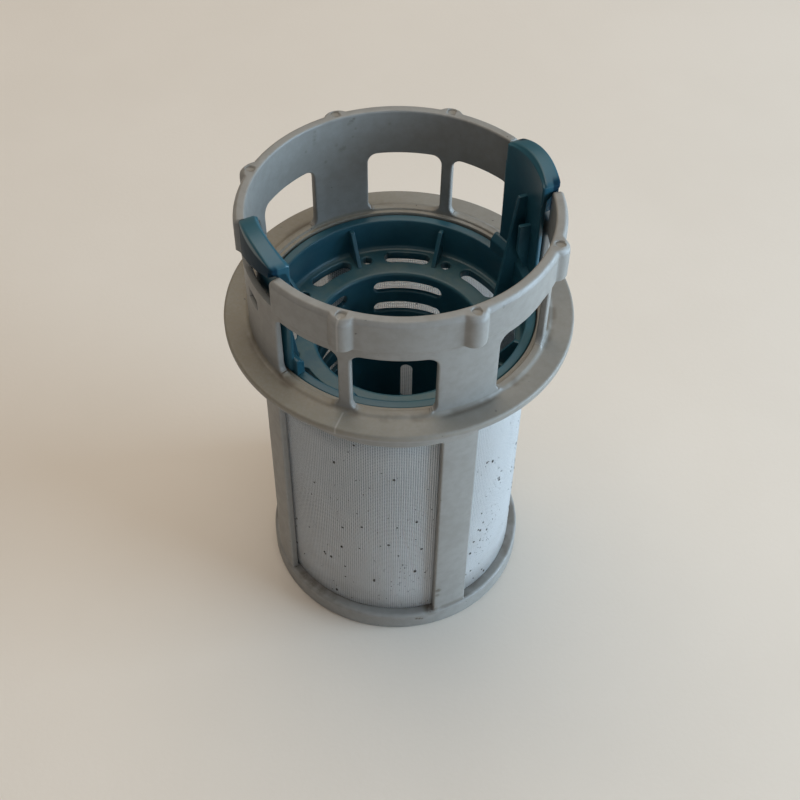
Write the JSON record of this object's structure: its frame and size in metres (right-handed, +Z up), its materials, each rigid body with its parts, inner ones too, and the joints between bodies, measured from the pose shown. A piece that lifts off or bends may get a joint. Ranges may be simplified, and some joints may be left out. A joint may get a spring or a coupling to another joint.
{
  "type": "dishwasher filter",
  "caption": "Cylindrical dishwasher sump filter: grey cage with windowed collar and flange, fine woven screen, and a teal slotted coarse basket with grip tabs that lifts out of its top.",
  "frame": {"origin": "middle of the base ring's underside, on the surface that the filter stands on", "axes": "+Z up along the filter's axis; the two grip tabs stand along +X and -X, each set about 1.5 degrees towards -Y"},
  "size_m": [0.083, 0.083, 0.1236],
  "materials": {
    "frame_plastic": "satin moulded polypropylene, warm grey",
    "screen_cloth": "pale fine woven screen with a faint vertical rib and dark specks",
    "basket_plastic": "satin moulded polypropylene, dark teal"
  },
  "bodies": {
    "filter_body": {"outer_frame": "frame_plastic", "mesh_screen": "screen_cloth"},
    "basket": {"coarse_basket": "basket_plastic"}
  },
  "joints": [
    {"name": "basket_lift", "type": "slide", "parent": "filter_body", "child": "basket", "axis": [0, 0, 1], "range_m": [0, 0.11]}
  ]
}
